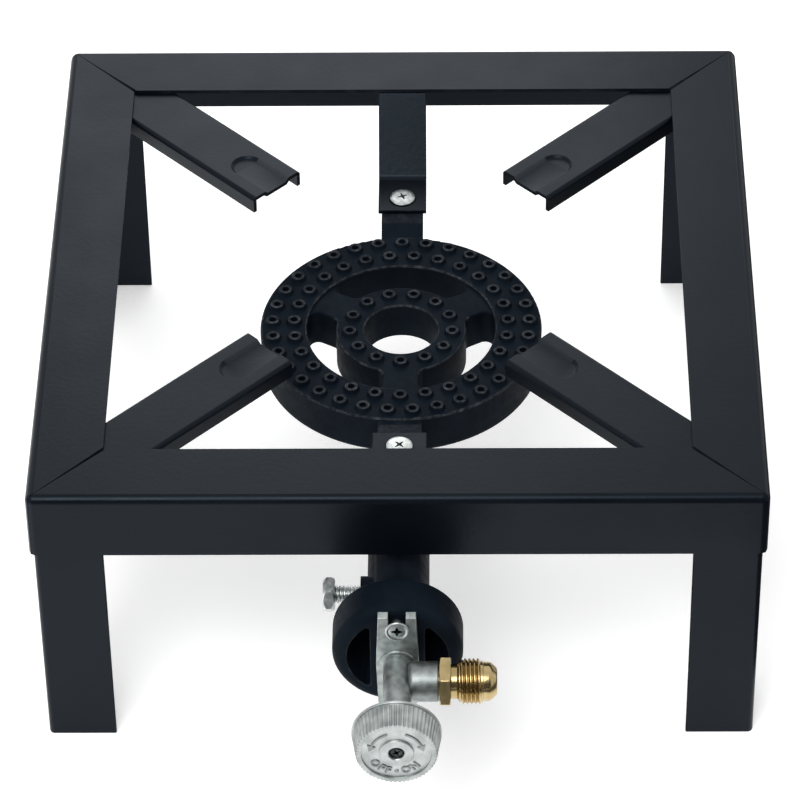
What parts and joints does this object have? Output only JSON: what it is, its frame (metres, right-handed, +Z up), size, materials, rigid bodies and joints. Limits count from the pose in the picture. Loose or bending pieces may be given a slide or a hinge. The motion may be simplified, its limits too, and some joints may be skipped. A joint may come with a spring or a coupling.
{
  "type": "gas boiling ring",
  "caption": "Square sheet-steel stand on corner legs around a cast ring gas burner, with pan arms, an air bell and throttle bolt, and a needle valve with a knob and flare inlet.",
  "frame": {"origin": "on the floor under the centre of the burner ring", "axes": "+Z up, +X to the right towards the gas inlet, -Y to the front along the mixer tube towards the knob"},
  "size_m": [0.254, 0.3338, 0.115],
  "materials": {
    "frame_paint": "satin blue-black powder coat with a fine orange peel",
    "cast_iron": "sand-cast, stoved dark",
    "plated_steel": "bright zinc plate",
    "zinc_casting": "die-cast zinc, tumbled grey",
    "brass": "turned, lightly dulled",
    "rubber": "matt"
  },
  "bodies": {
    "stand": {"front_rail": "frame_paint", "rear_rail": "frame_paint", "left_rail": "frame_paint", "right_rail": "frame_paint", "leg_front_left": "frame_paint", "leg_front_right": "frame_paint", "leg_rear_left": "frame_paint", "leg_rear_right": "frame_paint", "arm_front_left": "frame_paint", "arm_front_right": "frame_paint", "arm_rear_left": "frame_paint", "arm_rear_right": "frame_paint", "front_strap": "frame_paint", "rear_strap": "frame_paint", "burner": "cast_iron", "strap_screws": "plated_steel", "valve_screw": "plated_steel", "valve_body": "zinc_casting", "gas_jet": "brass", "inlet_adaptor": "brass", "gland_nut": "brass"},
    "throttle": {"throttle_bolt": "plated_steel"},
    "seal": {"spindle_seal": "rubber"},
    "valve_handle": {"valve_spindle": "brass", "knob": "zinc_casting", "knob_screw": "plated_steel"}
  },
  "joints": [
    {"name": "throttle_travel", "type": "slide", "parent": "stand", "child": "throttle", "axis": [1, 0, 0], "range_m": [-0.003, 0.0075]},
    {"name": "spindle_travel", "type": "slide", "parent": "stand", "child": "seal", "axis": [0, -1, 0], "range_m": [0, 0.00151]},
    {"name": "knob_turn", "type": "hinge", "parent": "seal", "child": "valve_handle", "pos_m": [0, -0.2, 0.073], "axis": [0, -1, 0], "range_deg": [0, 540]}
  ],
  "couplings": [
    {"joint": "spindle_travel", "follows": "knob_turn", "m_per_rad": 0.00015915}
  ]
}
